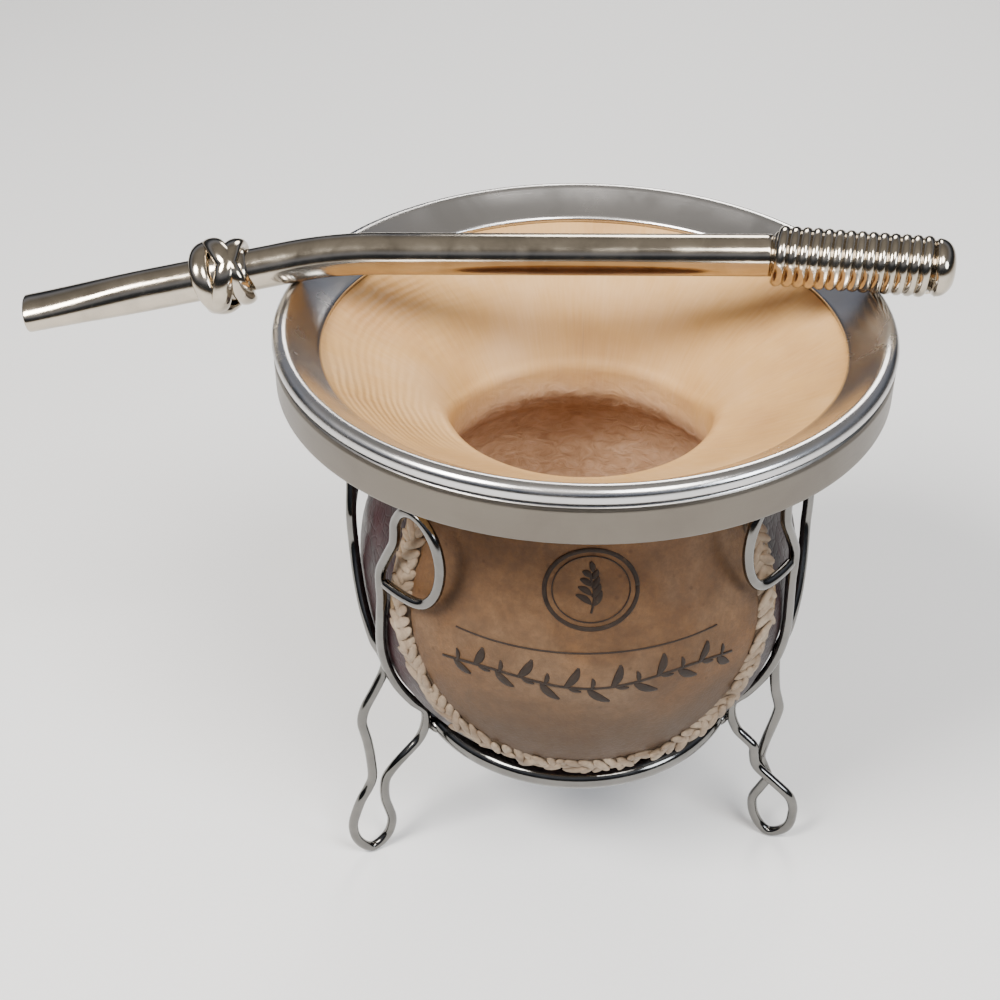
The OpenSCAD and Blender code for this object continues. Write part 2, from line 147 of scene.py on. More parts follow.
class Finish:
    # one material and the few kinds of node that its pattern needs

    def __init__(self, name, **fixed):
        self.material = bpy.data.materials.new(name)
        self.material.use_nodes = True
        self.tree = self.material.node_tree
        self.shader = self.tree.nodes["Principled BSDF"]
        for socket, value in fixed.items():
            self.shader.inputs[socket.replace("_", " ")].default_value = value

    def place(self, stretch=(1, 1, 1), centre=tuple(axis)):
        # where a spot lies, in metres from the centre
        coords = make(self.tree, "ShaderNodeTexCoord").outputs["Object"]
        return vector(self.tree, "MULTIPLY", vector(self.tree, "SUBTRACT", coords, centre), stretch)

    def alongPiece(self, around, along):
        # where a spot lies on the surface, round the piece and along it
        coords = make(self.tree, "ShaderNodeUVMap", uv_map="surface").outputs[0]
        return vector(self.tree, "MULTIPLY", coords, (around, along, 1))

    def noise(self, where, scale, detail=3, roughness=0.5, distortion=0):
        return make(self.tree, "ShaderNodeTexNoise", {
            "Vector": where, "Scale": scale, "Detail": detail, "Roughness": roughness,
            "Distortion": distortion}).outputs["Fac"]

    def cells(self, where, scale, feature="F1"):
        return make(self.tree, "ShaderNodeTexVoronoi", {"Vector": where, "Scale": scale},
                    feature=feature).outputs["Distance"]

    def sum(self, a, b, share):
        return number(self.tree, "MULTIPLY_ADD", b, share, a)

    def times(self, a, b):
        return number(self.tree, "MULTIPLY", a, b)

    def part(self, where, letter):
        return make(self.tree, "ShaderNodeSeparateXYZ", {0: where}).outputs[letter]

    def fromAxis(self):
        return make(self.tree, "ShaderNodeVectorMath", {0: self.place((1, 1, 0))},
                    operation="LENGTH").outputs["Value"]

    def stops(self, factor, stops):
        return setStops(make(self.tree, "ShaderNodeValToRGB", {"Fac": factor}), stops)

    def blend(self, factor, a, b):
        # the Mix node's sockets 6 and 7 are its colours; a plain colour is given with three numbers
        a, b = ((*c, 1) if isinstance(c, tuple) else c for c in (a, b))
        return make(self.tree, "ShaderNodeMix", {0: factor, 6: a, 7: b}, data_type="RGBA").outputs[2]

    def range(self, value, low, high, toLow=0.0, toHigh=1.0):
        return make(self.tree, "ShaderNodeMapRange", {
            "Value": value, "From Min": low, "From Max": high, "To Min": toLow, "To Max": toHigh}).outputs[0]

    def bump(self, height, depth, strength):
        return make(self.tree, "ShaderNodeBump", {
            "Height": height, "Distance": depth, "Strength": strength}).outputs[0]

    def use(self, **sockets):
        for name, output in sockets.items():
            self.tree.links.new(output, self.shader.inputs[name.replace("_", " ")])
        return self.material


# Short ways to make objects and meshes
def inScene(name, data):
    shown = bpy.data.objects.new(name, data)
    bpy.context.scene.collection.objects.link(shown)
    return shown


def newPiece(name, parts, material, replaced=()):
    # parts are the points, the faces and the faces' places on the surface
    points, faces, uvs = parts
    mesh = bpy.data.meshes.new(name)
    mesh.from_pydata([tuple(p) for p in points], [], faces)
    layer = mesh.uv_layers.new(name="surface")
    layer.data.foreach_set("uv", [value for corners in uvs for uv in corners for value in uv])
    finishMesh(name, mesh, material, replaced)


def finishMesh(name, mesh, material, replaced=(), outward=True):
    if outward:
        bm = bmesh.new()
        bm.from_mesh(mesh)
        bmesh.ops.recalc_face_normals(bm, faces=bm.faces)
        bm.to_mesh(mesh)
        bm.free()
    mesh.shade_smooth()
    mesh.materials.clear()
    mesh.materials.append(material)
    piece = inScene(name, mesh)
    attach(piece, "root")
    if replaced:
        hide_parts(*replaced)


def skin(rings, loop=False):
    # faces over rows of points; every row is a closed ring, and the ends are closed with a fan
    sides = len(rings[0])
    points = [p for ring in rings for p in ring]
    faces, uvs = [], []
    lengths = [0.0]
    for near, far in zip(rings, rings[1:] + rings[:1]):
        lengths.append(lengths[-1] + (far[0] - near[0]).length)
    girth = sum((rings[0][j] - rings[0][j - 1]).length for j in range(sides))
    for i in range(len(rings) if loop else len(rings) - 1):
        far = (i + 1) % len(rings)
        for j in range(sides):
            k = (j + 1) % sides
            faces.append((i * sides + j, far * sides + j, far * sides + k, i * sides + k))
            u, v = girth * j / sides, girth * (j + 1) / sides
            uvs.append(((u, lengths[i]), (u, lengths[i + 1]), (v, lengths[i + 1]), (v, lengths[i])))
    if not loop:
        for start, ring in ((0, rings[0]), (len(points) - sides, rings[-1])):
            points.append(sum(ring, Vector()) / sides)
            for j in range(sides):
                faces.append((start + j, start + (j + 1) % sides, len(points) - 1))
                uvs.append(((0, 0), (0, 0.001), (0.001, 0)))
    return points, faces, uvs


def lathe(profile, segments, shape=None):
    # a closed outline of (radius, height) turned about the gourd's axis; radius 0 is a pole
    points, faces, uvs, rows = [], [], [], []
    lengths = [0.0]
    for a, b in zip(profile, profile[1:] + profile[:1]):
        lengths.append(lengths[-1] + math.hypot(b[0] - a[0], b[1] - a[1]))
    for index, (r, z) in enumerate(profile):
        if r < 1e-7:
            rows.append([len(points)] * segments)
            points.append(axis + Vector((0, 0, z)))
            continue
        rows.append(range(len(points), len(points) + segments))
        for j in range(segments):
            angle = 360 * j / segments
            points.append(around(angle, *(shape(angle, r, z, index) if shape else (r, z))))
    wide = max(r for r, z in profile) * 2 * math.pi
    for i, row in enumerate(rows):
        far = rows[(i + 1) % len(rows)]
        if row[0] == row[-1] and far[0] == far[-1]:
            continue
        for j in range(segments):
            k = (j + 1) % segments
            corners = [(row[j], j, i), (far[j], j, i + 1), (far[k], j + 1, i + 1), (row[k], j + 1, i)]
            kept = [c for n, c in enumerate(corners) if c[0] != corners[n - 1][0]]
            faces.append([c[0] for c in kept])
            uvs.append([(wide * c[1] / segments, lengths[c[2]]) for c in kept])
    return points, faces, uvs


def curveThrough(points, steps):
    # a smooth curve through the points
    first, last = points[0] * 2 - points[1], points[-1] * 2 - points[-2]
    padded = [first, *points, last]
    curve = []
    for a, b, c, d in zip(padded, padded[1:], padded[2:], padded[3:]):
        for k in range(steps):
            t = k / steps
            curve.append((b * 2 + (c - a) * t + (a * 2 - b * 5 + c * 4 - d) * t ** 2
                          + (b * 3 - a - c * 3 + d) * t ** 3) / 2)
    return curve + [points[-1]]


def directions(path, loop=False):
    last = len(path) - 1
    if loop:
        return [(path[(i + 1) % len(path)] - path[i - 1]).normalized() for i in range(len(path))]
    return [(path[min(i + 1, last)] - path[max(i - 1, 0)]).normalized() for i in range(len(path))]


def oval(centre, along, side, a, b, sides):
    side = (side - along * side.dot(along)).normalized()
    cross = along.cross(side)
    turns = [2 * math.pi * j / sides for j in range(sides)]
    return [centre + side * (a * math.cos(t)) + cross * (b * math.sin(t)) for t in turns]


def wireRings(path, radius, sides):
    # rings along a path that never twist, with rounded edges at the cut ends
    along = directions(path)
    side = Vector((0.02, 0.03, 1))
    rings = []
    for centre, t in zip(path, along):
        side = (side - t * side.dot(t)).normalized()
        rings.append(oval(centre, t, side, radius, radius, sides))
    edge = radius * 0.18
    for end, t, place in ((0, along[0] * -1, 0), (-1, along[-1], len(rings) + 1)):
        flat = [path[end] + (p - path[end]) * 0.84 + t * edge for p in rings[end]]
        rings.insert(place, flat)
    return rings


def cadRings(node, sides):
    # the rings of a swept CAD piece, in order, from its flat end with the greatest x
    bm = bmesh.new()
    bm.from_mesh(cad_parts[node].data)
    bmesh.ops.remove_doubles(bm, verts=bm.verts, dist=1e-6)
    bm.normal_update()
    ends, seen = [], set()
    for face in bm.faces:
        if face in seen:
            continue
        flat, wave = {face}, [face]
        while wave:
            near = {f for edge in wave.pop().edges for f in edge.link_faces} - flat
            near = [f for f in near if f.normal.dot(face.normal) > 0.99995]
            flat.update(near)
            wave += near
        seen |= flat
        verts = {v for f in flat for v in f.verts}
        centre = sum((v.co for v in verts), Vector()) / len(verts)
        away = [(v.co - centre).length for v in verts]
        if len(verts) == sides and max(away) < 1.5 * min(away):
            ends.append((centre.x, verts))
    ring = max(ends, key=lambda end: end[0])[1]
    done, rings = set(), []
    while len(ring) == sides:
        rings.append([v.co.copy() for v in ring])
        done |= ring
        ring = {edge.other_vert(v) for v in ring for edge in v.link_edges} - done
    bm.free()
    return rings


def middle(ring):
    return sum(ring, Vector()) / len(ring)


# Camera, floor and light
camera = {"lens": 57.6, "side": -15.79 * mm, "away": 262.81 * mm, "height": 266.9 * mm,
          "pitch": 35.72, "roll": 0.36}


def makeCamera():
    data = bpy.data.cameras.new("camera")
    data.lens = camera["lens"]
    data.sensor_width = 36
    data.clip_start = 0.01
    shown = inScene("camera", data)
    shown.location = (axis.x + camera["side"], -camera["away"], camera["height"])
    pitch = Matrix.Rotation(math.radians(90 - camera["pitch"]), 3, "X")
    roll = Matrix.Rotation(math.radians(-camera["roll"]), 3, "Z")
    shown.rotation_euler = (pitch @ roll).to_euler()
    bpy.context.scene.camera = shown


studio = {
    "floorSize": 3.0,
    "floorColours": [(0, (0.93, 0.93, 0.925)), (1, (0.96, 0.96, 0.96))],
    "aim": (0, 0, 0.07),
    "lamps": [  # name, place, size, watts, colour
        ("keyLamp", (-0.45, -0.35, 0.75), 0.35, 12, (1, 0.97, 0.93)),
        ("fillLamp", (0.65, -0.45, 0.45), 0.30, 3.2, (0.85, 0.92, 1)),
        ("backLamp", (0.15, 0.75, 0.55), 0.35, 3, (1, 0.97, 0.92)),
        ("topLamp", (0.3, -0.5, 0.9), 0.40, 8, (1, 0.98, 0.95)),
    ],
    "worldStrength": 0.8,
    "worldColours": [  # from straight below to straight above
        (0.0, (0.30, 0.26, 0.22)), (0.49, (0.26, 0.22, 0.18)), (0.52, (0.045, 0.05, 0.055)),
        (0.64, (0.07, 0.08, 0.10)), (0.74, (0.40, 0.43, 0.52)), (0.86, (0.30, 0.285, 0.265)),
        (1.0, (0.52, 0.49, 0.45))],
}


def makeFloor():
    half = studio["floorSize"] / 2
    mesh = bpy.data.meshes.new("floor")
    corners = [(-half, -half, 0), (half, -half, 0), (half, half, 0), (-half, half, 0)]
    mesh.from_pydata(corners, [], [(0, 1, 2, 3)])
    finish = Finish("paleFloor", Roughness=0.7)
    grain = finish.noise(finish.place(centre=(0, 0, 0)), 900, 2)
    mesh.materials.append(finish.use(Base_Color=finish.stops(grain, studio["floorColours"])))
    inScene("floor", mesh)


def makeLight():
    for name, place, size, watts, colour in studio["lamps"]:
        data = bpy.data.lights.new(name, "AREA")
        data.shape = "DISK"
        data.size = size
        data.energy = watts
        data.color = colour
        lamp = inScene(name, data)
        lamp.location = place
        lamp.rotation_euler = (Vector(studio["aim"]) - Vector(place)).to_track_quat("-Z", "Y").to_euler()
    world = bpy.data.worlds.new("studio")
    world.use_nodes = True
    bpy.context.scene.world = world
    tree = world.node_tree
    coords = make(tree, "ShaderNodeTexCoord").outputs["Generated"]
    height = make(tree, "ShaderNodeSeparateXYZ", {0: coords}).outputs["Z"]
    spread = make(tree, "ShaderNodeMapRange", {"Value": height, "From Min": -1.0, "From Max": 1.0}).outputs[0]
    colour = setStops(make(tree, "ShaderNodeValToRGB", {"Fac": spread}), studio["worldColours"])
    background = tree.nodes["Background"]
    tree.links.new(colour, background.inputs["Color"])
    background.inputs["Strength"].default_value = studio["worldStrength"]


makeCamera()
makeFloor()
makeLight()
print("2: camera, floor and light")


# Gourd
wood = {
    "grooveDepth": 0.015 * mm,
    "roughDepth": 0.35 * mm,
    "ridges": 46,
    "edgeRadius": 3.1 * mm,
    "backDrop": 7 * mm,
    "pale": [(0.3, (0.54, 0.28, 0.09)), (0.5, (0.66, 0.37, 0.12)), (0.75, (0.74, 0.46, 0.21))],
    "inner": [(0.3, (0.43, 0.26, 0.15)), (0.5, (0.53, 0.335, 0.20)), (0.72, (0.60, 0.405, 0.27))],
    "mark": (0.50, 0.30, 0.14),
    "fibre": (0.86, 0.64, 0.40),
    "crack": (0.40, 0.22, 0.10),
    "paleAbove": 97.5 * mm,
    "innerBelow": 89 * mm,
}


def gourdWood():
    finish = Finish("gourdWood")
    spot = finish.place()
    # tool marks: fine rings that wander a little, and are strongest at the left
    wander = finish.noise(spot, 45, 3)
    track = finish.sum(finish.times(finish.fromAxis(), 4300), wander, 22.0)
    marks = number(finish.tree, "SINE", track)
    leftSide = finish.range(finish.part(spot, "X"), -5 * mm, -40 * mm, 0.12, 1.0)
    strong = finish.times(finish.range(finish.noise(spot, 28, 2), 0.42, 0.66), leftSide)
    marks = finish.times(marks, strong)
    fibre = finish.noise(finish.alongPiece(900, 140), 1, 4, 0.6)
    cracks = finish.noise(finish.alongPiece(330, 26), 1, 2, 0.5, 0.3)
    blotch = finish.noise(spot, 42, 4, 0.55)
    pale = finish.stops(blotch, wood["pale"])
    pale = finish.blend(finish.range(marks, -1, 1, 0.0, 0.16), pale, wood["mark"])
    pale = finish.blend(finish.range(fibre, 0.4, 0.7, 0.0, 0.14), pale, wood["fibre"])
    pale = finish.blend(finish.range(cracks, 0.70, 0.76, 0.0, 0.45), pale, wood["crack"])
    pulp = finish.noise(finish.place((1, 1, 1.5)), 210, 5, 0.62, 1.6)
    edge = finish.sum(finish.part(spot, "Z"), finish.noise(spot, 160, 3), 6 * mm)
    inside = finish.range(edge, wood["paleAbove"], wood["innerBelow"])
    colour = finish.blend(inside, pale, finish.stops(pulp, wood["inner"]))
    rough = finish.bump(pulp, 0.7 * mm, 0.7)
    fine = finish.bump(finish.sum(marks, fibre, 0.7), 0.10 * mm, 0.8)
    normal = make(finish.tree, "ShaderNodeMix", {0: inside, 4: fine, 5: rough}, data_type="VECTOR").outputs[1]
    return finish.use(Base_Color=colour, Normal=normal, Roughness=finish.range(blotch, 0.2, 0.8, 0.52, 0.72))


def gourdOutside():
    # from the middle of the underside up to the funnel's outer edge
    low, top = gourd["underside"] + gourd["leather"], rimHigh.z
    wide = rimRadius - 1.2 * mm
    outer = [(0, low)]
    for k in range(1, 28):
        z = mix(low + 0.8 * mm, gourd["neckHeight"], (k / 27) ** 1.3)
        outer.append((coverRadius(z, gourd["leather"]), z))
    return outer + [(wide - 0.6 * mm, top - 10 * mm), (wide, top - 9.4 * mm), (wide, top - 2.6 * mm),
                    (gourd["seatRadius"] + 2.1 * mm, top - gourd["seatDrop"] + 1.1 * mm)]


def gourdFunnel():
    # a slightly sagging slope, and the throat's edge, which is rounded over
    throat, height, soft = gourd["throatRadius"], gourd["throatHeight"], wood["edgeRadius"]
    funnel = []
    for k in range(61):
        t = k / 60
        sag = -0.5 * mm * math.sin(math.pi * t)
        funnel.append((mix(gourd["seatRadius"], throat + 2.9 * mm, t),
                       mix(rimHigh.z - gourd["seatDrop"], height + 0.6 * mm, t) + sag))
    for k in range(2, 11):
        a = math.radians(9 * k)
        funnel.append((throat + soft - soft * math.sin(a), height + 0.5 * mm - soft + soft * math.cos(a)))
    return funnel


def gourdInside(top):
    # from under the throat's edge down to the middle of the hollow's floor
    throat, belly = gourd["throatRadius"], gourd["bellyHeight"]
    inset = gourd["leather"] + gourd["shell"]
    floor = gourd["underside"] + inset
    neck = gourd["throatHeight"] - 9 * mm
    inside = []
    for k in range(61):
        z = mix(top - 0.6 * mm, floor + 0.4 * mm, k / 60)
        if z > belly:
            inside.append((mix(throat, gourd["bellyRadius"] - inset, ease((neck - z) / (neck - belly))), z))
        else:
            inside.append((coverRadius(z, inset), z))
    return inside + [(r, floor) for r in (18 * mm, 9 * mm, 0)]


def makeGourd():
    outer, funnel = gourdOutside(), gourdFunnel()
    edgeHeight = funnel[-1][1]
    firstFunnel = len(outer)
    firstInside = firstFunnel + len(funnel)
    evenBelow = 80 * mm  # the lower edge at the back fades out down to here

    def shape(angle, r, z, index):
        spot = around(angle, r, z)
        back = ease(0.35 - math.cos(math.radians(angle))) * wood["backDrop"]
        if index >= firstInside:
            z -= back * max(0, (z - evenBelow) / (edgeHeight - evenBelow))
            depth = ease((index - firstInside - 4) / 10) * wood["roughDepth"]
            ridge = math.sin(math.radians(angle) * wood["ridges"] + 5 * lumps(spot, 14 * mm, 2))
            bumps = 0.3 * ridge + 0.8 * lumps(spot, 5 * mm, 4) + 0.5 * lumps(spot, 2.2 * mm, 6)
            return r + depth * bumps, z
        if index >= firstFunnel:
            z -= back * min(1, max(0, (38 * mm - r) / (11 * mm))) ** 2
            return r + 0.12 * mm * lumps(spot, 9 * mm, 1), z + wood["grooveDepth"] * math.sin(index * 2.4)
        return r, z

    profile = outer + funnel + gourdInside(edgeHeight)
    newPiece("gourdShell", lathe(profile, gourd["segments"], shape), gourdWood(), ["gourd"])


makeGourd()
print("3: gourd")


# Rim
rimParts = {
    "lipRadius": 1.8 * mm,
    "innerRadius": 49.2 * mm,
    "flangeDrop": 4.7 * mm,
    "sheet": 1 * mm,
    "groove": 0.28 * mm,
    "polished": (0.56, 0.55, 0.545),
    "polishedDull": (0.36, 0.33, 0.31),
    "band": (0.155, 0.137, 0.115),
    "bandDull": (0.11, 0.095, 0.08),
    "segments": 320,
}


def rimMetal():
    finish = Finish("rimMetal", Metallic=1.0, Anisotropic=0.35)
    spot = finish.place()
    underLip = finish.range(finish.part(spot, "Z"), rimHigh.z - 3.2 * mm, rimHigh.z - 3.7 * mm)
    outside = finish.range(finish.fromAxis(), rimRadius - 0.8 * mm, rimRadius - 0.6 * mm)
    onBand = finish.times(underLip, outside)
    brushed = finish.noise(finish.alongPiece(55, 5200), 1, 4, 0.7)
    swirl = finish.noise(finish.alongPiece(40, 2600), 1, 3, 0.6)
    smears = finish.noise(spot, 60, 4, 0.6, 0.5)
    scratches = finish.cells(finish.place((1, 1.6, 1)), 260, "DISTANCE_TO_EDGE")
    satin = finish.range(brushed, 0.3, 0.7, 0.30, 0.42)
    polish = finish.range(smears, 0.3, 0.75, 0.17, 0.32)
    roughness = make(finish.tree, "ShaderNodeMix", {0: onBand, 2: polish, 3: satin}).outputs[0]
    colour = finish.blend(onBand, rimParts["polished"], rimParts["band"])
    dull = finish.blend(onBand, rimParts["polishedDull"], rimParts["bandDull"])
    colour = finish.blend(finish.range(smears, 0.45, 0.8, 0, 0.5), colour, dull)
    lines = finish.times(brushed, finish.range(onBand, 0, 1, 0.25, 1))
    height = finish.sum(lines, swirl, 0.4)
    height = finish.sum(height, finish.range(scratches, 0.0, 0.02, 0, 1), 0.08)
    return finish.use(Base_Color=colour, Roughness=roughness, Normal=finish.bump(height, 0.035 * mm, 0.55))


def makeRim():
    r, top = rimRadius, rimHigh.z
    lip, sheet = rimParts["lipRadius"], rimParts["sheet"]
    low, joint = rimLow.z, top - 2 * lip
    inner = (rimParts["innerRadius"], top - rimParts["flangeDrop"])
    band = r - 0.12 * mm
    profile = [(r - sheet, low + 0.4 * mm), (r - sheet + 0.2 * mm, low + 0.05 * mm), (r - 0.45 * mm, low),
               (band - 0.08 * mm, low + 0.1 * mm), (band, low + 0.35 * mm)]
    profile += [(band, mix(low + 0.35 * mm, joint - 0.5 * mm, k / 12)) for k in range(1, 13)]
    profile += [(band - rimParts["groove"], joint - 0.15 * mm), (band - rimParts["groove"], joint + 0.1 * mm)]
    for k in range(25):
        a = math.radians(mix(-70, 120, k / 24))
        profile.append((r - lip + lip * math.cos(a), top - lip + lip * math.sin(a)))
    start = profile[-1]
    for k in range(1, 22):
        t = k / 22
        profile.append((mix(start[0], inner[0] + 0.3 * mm, t), mix(start[1], inner[1] + 0.25 * mm, t)
                        - 0.25 * mm * math.sin(math.pi * t)))
    profile += [(inner[0] + 0.05 * mm, inner[1] + 0.05 * mm), (inner[0] - 0.05 * mm, inner[1] - 0.25 * mm),
                (inner[0] + 0.05 * mm, inner[1] - 0.95 * mm), (inner[0] + 2.2 * mm, inner[1] + 0.3 * mm),
                (r - sheet, top - 2.6 * mm)]
    newPiece("rimMetal", lathe(profile, rimParts["segments"]), rimMetal(), ["rim"])


makeRim()
print("4: rim")


# Leather
def leatherMaterial(name, stops, grain, depth, low, high, coat=0.0, extra=None):
    # low and high are the limits of the roughness; extra adds to the colour
    finish = Finish(name, Coat_Weight=coat, Coat_Roughness=0.3, Specular_IOR_Level=0.22)
    spot = finish.place()
    mottle = finish.noise(spot, 150, 6, 0.66, 0.5)
    patch = finish.noise(spot, 42, 4, 0.55, 0.8)
    colour = finish.stops(finish.sum(finish.times(mottle, 0.55), patch, 0.45), stops)
    if extra:
        colour = extra(finish, spot, colour)
    pores = finish.cells(spot, grain, "DISTANCE_TO_EDGE")
    creases = finish.noise(spot, grain * 0.35, 5, 0.65, 1.2)
    height = finish.sum(finish.times(creases, 0.8), finish.range(pores, 0.0, 0.12), 0.6)
    return finish.use(Base_Color=colour, Roughness=finish.range(mottle, 0.3, 0.7, low, high),
                      Normal=finish.bump(height, depth, 0.7))


cover = {
    "wrinkle": 0.22 * mm,
    "gather": 0.5 * mm,
    "gatherFrom": 84 * mm,
    "folds": 58,
    "segments": 300,
    # near-black: partly the dark leather's own colour, partly painted shade on the gourd's sides
    "colours": [(0.3, (0.006, 0.003, 0.003)), (0.5, (0.014, 0.005, 0.006)), (0.72, (0.038, 0.010, 0.013))],
    "grain": 420,
    "grainDepth": 0.16 * mm,
}


def makeCover():
    low = gourd["underside"]
    foot = coverRadius(low + 0.6 * mm)
    outer = [(foot - 2.4 * mm, low), (foot - 0.9 * mm, low + 0.2 * mm)]
    for k in range(81):
        z = mix(low + 0.9 * mm, gourd["neckHeight"], k / 80)
        outer.append((coverRadius(z), z))
    inner = []
    for k in range(24, -1, -1):
        z = mix(low + 2.2 * mm, gourd["neckHeight"], k / 24)
        inner.append((coverRadius(z, gourd["leather"]), z))
    under = [(12 * mm, low + gourd["leather"]), (0, low + gourd["leather"]), (0, low)]

    def shape(angle, r, z, index):
        if not 1 < index < len(outer) - 1:
            return r, z
        spot = around(angle, r, z)
        top = ease((z - cover["gatherFrom"]) / (16 * mm))
        fold = math.sin(math.radians(angle) * cover["folds"] + 6 * lumps(spot, 30 * mm, 3))
        size = cover["wrinkle"] * (lumps(spot, 7 * mm, 5) + 0.6 * lumps(spot, 3 * mm, 8))
        return r + size * 0.7 + cover["gather"] * 0.4 * top * fold, z

    # the cover's colour is partly the dark leather's own and partly painted shade on the gourd's sides
    material = leatherMaterial("darkLeatherAndPaintedShade", cover["colours"], cover["grain"], cover["grainDepth"],
                               0.36, 0.58, 0.04)
    shell = lathe(under + outer + inner, cover["segments"], shape)
    newPiece("leatherCover", shell, material, ["leather_cover"])


panel = {
    "angle": 50,
    "aboveRing": 13.2 * mm,
    "shoulder": 88 * mm,
    "belowNeck": 1 * mm,
    "curve": 2.3,
    "seat": 0.08 * mm,
    "thickness": 0.8 * mm,
    "colours": [(0.28, (0.050, 0.024, 0.010)), (0.5, (0.108, 0.056, 0.025)), (0.74, (0.185, 0.105, 0.052))],
    "warm": (0.185, 0.085, 0.030),
    "faded": (0.20, 0.130, 0.078),
    "darkerLowEnd": (0.058, 0.038, 0.024),
    "grit": (0.055, 0.032, 0.018),
    "speck": (0.045, 0.024, 0.012),
}
panelLow = ringHeight + panel["aboveRing"]
panelHigh = gourd["neckHeight"] - panel["belowNeck"]


def outline(beyond):
    # the panel's edge from its top left round to its top right, or a line this far outside it
    wide = panel["angle"] + math.degrees(beyond / gourd["bellyRadius"])
    shoulder, power = panel["shoulder"], 2 / panel["curve"]
    drop = shoulder - (panelLow - beyond)
    half = []
    for k in range(121):
        a = math.radians(90 * (1 - k / 120))
        half.append((wide * math.cos(a) ** power, shoulder - drop * math.sin(a) ** power))
    half += [(wide, mix(shoulder, panelHigh, k / 12)) for k in range(1, 13)]
    return [(-a, z) for a, z in reversed(half)] + half[1:]


def panelHalfAngle(z):
    if z >= panel["shoulder"]:
        return panel["angle"]
    t = min(1, (panel["shoulder"] - z) / (panel["shoulder"] - panelLow))
    return panel["angle"] * (1 - t ** panel["curve"]) ** (1 / panel["curve"])


def panelLeather():
    def stains(finish, spot, colour):
        # warm and faded patches, a darker lower end, grit and specks
        warm = finish.range(finish.noise(spot, 33, 3, 0.5, 0.6), 0.48, 0.7, 0, 0.55)
        colour = finish.blend(warm, colour, panel["warm"])
        toRight = finish.sum(finish.noise(spot, 26, 4, 0.6, 1.0), finish.part(spot, "X"), 2.2)
        colour = finish.blend(finish.range(toRight, 0.52, 0.75, 0, 0.6), colour, panel["faded"])
        # the panel's colour turns darker towards the bottom
        low = finish.range(finish.part(spot, "Z"), 70 * mm, 54 * mm, 0, 0.8)
        colour = finish.blend(low, colour, panel["darkerLowEnd"])
        grit = finish.range(finish.noise(spot, 620, 4, 0.7), 0.40, 0.62, 0.35, 0)
        colour = finish.blend(grit, colour, panel["grit"])
        specks = finish.range(finish.cells(spot, 300), 0.05, 0.16, 0.45, 0)
        return finish.blend(specks, colour, panel["speck"])

    return leatherMaterial("panelLeather", panel["colours"], 900, 0.05 * mm, 0.5, 0.7, extra=stains)


def makePanel():
    columns, rows = 150, 110
    edgeWidth = 1.2  # degrees over which the edge is rounded down to the cover
    heights = [mix(panelHigh, panelLow + 0.02 * mm, k / rows) for k in range(rows + 1)]
    lift = panel["seat"] + panel["thickness"]
    rings = []
    for z in heights:
        half = max(panelHalfAngle(z), edgeWidth)
        front, back = [], []
        for j in range(columns + 1):
            u = 2 * j / columns - 1
            spot = onCover(half * u, z)
            edge = ease((1 - abs(u)) * half / edgeWidth) * ease((z - panelLow) / (1.2 * mm) + 0.3)
            soft = 0.10 * mm * lumps(spot, 8 * mm, 9) + 0.05 * mm * lumps(spot, 3 * mm, 7)
            front.append(onCover(half * u, z, mix(0.35 * mm, lift + soft, edge)))
            back.append(onCover(half * u, z, panel["seat"] * 0.5))
        rings.append(front + back[::-1])
    newPiece("frontPanel", skin(rings), panelLeather(), ["front_panel"])


def ribbon(route, width, low, high, taper=None):
    # a strip on the cover along (azimuth, height) points, from low to high above the leather;
    # taper gives the share of its width from 0 to 1 along it
    path = [onCover(a, z, (low + high) / 2) for a, z in route]
    along = directions(path)
    rings = []
    for k, ((a, z), centre, t) in enumerate(zip(route, path, along)):
        up = coverNormal(a, z)
        half = width / 2 * (taper(k / (len(route) - 1)) if taper else 1)
        rings.append(oval(centre, t, t.cross(up), half, (high - low) / 2, 8))
    return skin(rings)


def joined(parts):
    points, faces, uvs = [], [], []
    for somePoints, someFaces, someUvs in parts:
        faces += [tuple(i + len(points) for i in face) for face in someFaces]
        points += somePoints
        uvs += someUvs
    return points, faces, uvs


ornament = {
    "middle": (0.6, 86.6 * mm),  # azimuth and height of the roundel
    "radius": 7.0 * mm,
    "stretch": 1.18,
    "leaves": 4,
    "line": 75.2 * mm,
    "lineEnds": 33,
    "branch": 68.8 * mm,
    "branchHalf": 25 * mm,
    "branchLeaves": 13,
    "low": 0.80 * mm,
    "high": 1.06 * mm,
    "ink": [(0.35, (0.016, 0.010, 0.007)), (0.62, (0.026, 0.017, 0.012)), (0.8, (0.06, 0.04, 0.025))],
}


def inkMaterial():
    finish = Finish("burntOrnament", Specular_IOR_Level=0.2)
    worn = finish.noise(finish.place(), 420, 4, 0.7)
    return finish.use(Base_Color=finish.stops(worn, ornament["ink"]),
                      Roughness=finish.range(worn, 0.3, 0.7, 0.45, 0.7),
                      Normal=finish.bump(worn, 0.06 * mm, 0.6))


